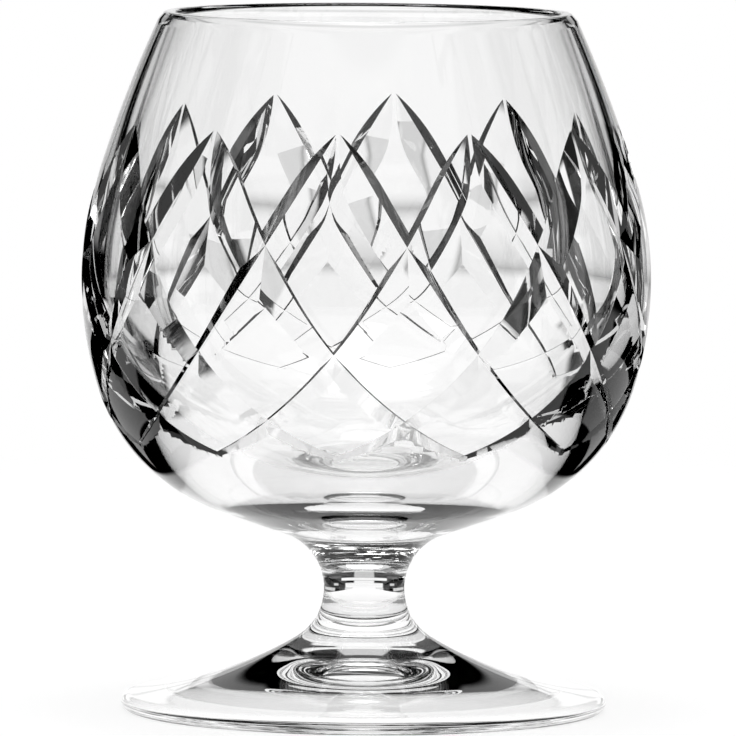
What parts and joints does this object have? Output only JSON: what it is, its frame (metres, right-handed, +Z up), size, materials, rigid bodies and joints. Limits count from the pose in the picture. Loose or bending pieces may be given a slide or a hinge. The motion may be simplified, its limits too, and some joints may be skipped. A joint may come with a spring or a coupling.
{
  "type": "brandy snifter",
  "caption": "Cut-crystal brandy snifter: a wide bowl that narrows to the rim, ringed by crossing V-cuts, on a short waisted stem and a round foot.",
  "frame": {"origin": "centre of the foot on the surface that the glass stands on", "axes": "+Z up along the axis of the glass, -Y towards the front of the picture"},
  "size_m": [0.0976, 0.0976, 0.12],
  "materials": {
    "crystal": "clear crystal, fire-polished on the blown and cast surfaces and acid-polished in the cuts"
  },
  "bodies": {
    "root": {"bowl": "crystal", "stem": "crystal", "foot": "crystal"}
  },
  "joints": []
}
